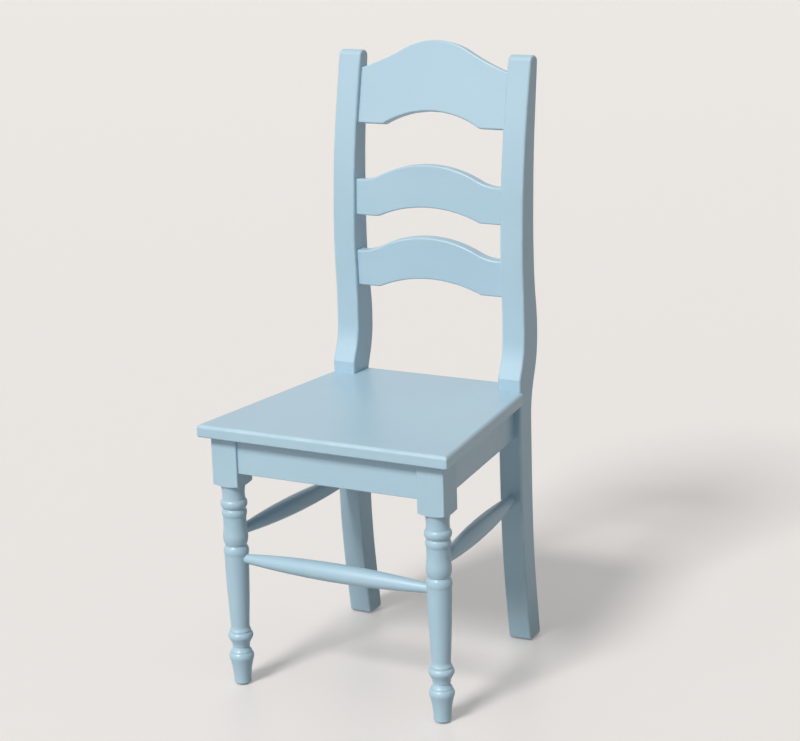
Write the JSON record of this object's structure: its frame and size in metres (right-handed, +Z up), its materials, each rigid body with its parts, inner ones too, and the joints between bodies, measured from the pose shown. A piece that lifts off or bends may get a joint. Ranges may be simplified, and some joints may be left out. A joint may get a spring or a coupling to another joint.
{
  "type": "ladder-back dining chair",
  "caption": "Painted wooden dining chair with arched slats between swept rear posts, a flat panel seat, turned front legs and swelling turned stretchers.",
  "frame": {"origin": "on the floor, under the middle of the chair's outline", "axes": "+Z up, -Y towards the front of the seat, +X to the right of someone who looks at the chair from the front"},
  "size_m": [0.4548, 0.4616, 1.0369],
  "materials": {
    "painted_wood": "satin",
    "bare_wood": "matte",
    "screw_steel": "satin",
    "glide_plastic": "matte"
  },
  "bodies": {
    "root": {"seat_panel": "painted_wood", "crest_rail": "painted_wood", "middle_slat": "painted_wood", "lower_slat": "painted_wood", "left_rear_post": "painted_wood", "right_rear_post": "painted_wood", "left_front_leg": "painted_wood", "right_front_leg": "painted_wood", "front_apron": "painted_wood", "rear_apron": "painted_wood", "left_apron": "painted_wood", "right_apron": "painted_wood", "front_stretcher": "painted_wood", "left_stretcher": "painted_wood", "right_stretcher": "painted_wood", "left_front_corner_block": "bare_wood", "right_front_corner_block": "bare_wood", "left_rear_corner_block": "bare_wood", "right_rear_corner_block": "bare_wood", "front_apron_dowels": "bare_wood", "rear_apron_dowels": "bare_wood", "left_apron_dowels": "bare_wood", "right_apron_dowels": "bare_wood", "corner_block_screws": "screw_steel", "seat_screws": "screw_steel", "floor_glides": "glide_plastic"}
  },
  "joints": []
}
